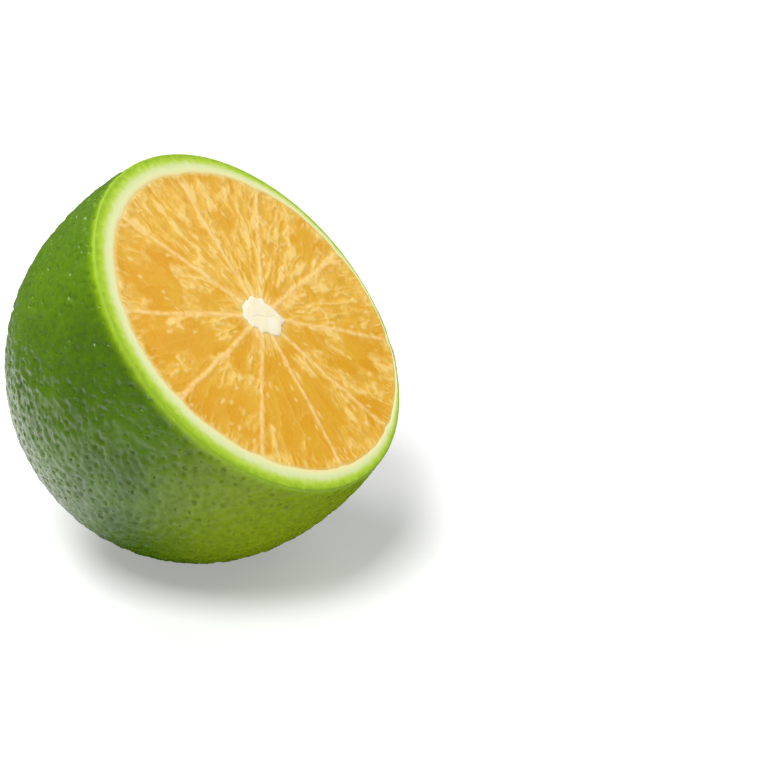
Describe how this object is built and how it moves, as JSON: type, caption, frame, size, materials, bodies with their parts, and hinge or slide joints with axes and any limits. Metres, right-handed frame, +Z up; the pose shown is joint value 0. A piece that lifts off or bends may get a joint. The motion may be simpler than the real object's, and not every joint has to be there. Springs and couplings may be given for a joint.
{
  "type": "cut calamansi",
  "caption": "Small green citrus fruit with its blossom end sliced off, standing on its round end with the orange-yellow cut face leaning to one side.",
  "frame": {"origin": "middle of the small flat spot that the fruit rests on", "axes": "+Z up; the cut face leans towards +X, 44 degrees from level; +Y across the lean"},
  "size_m": [0.0392, 0.0372, 0.0387],
  "materials": {
    "skin": "satin",
    "pith": "matte",
    "pulp": "gloss",
    "core": "matte"
  },
  "bodies": {
    "root": {"calamansi": "skin"}
  },
  "joints": []
}
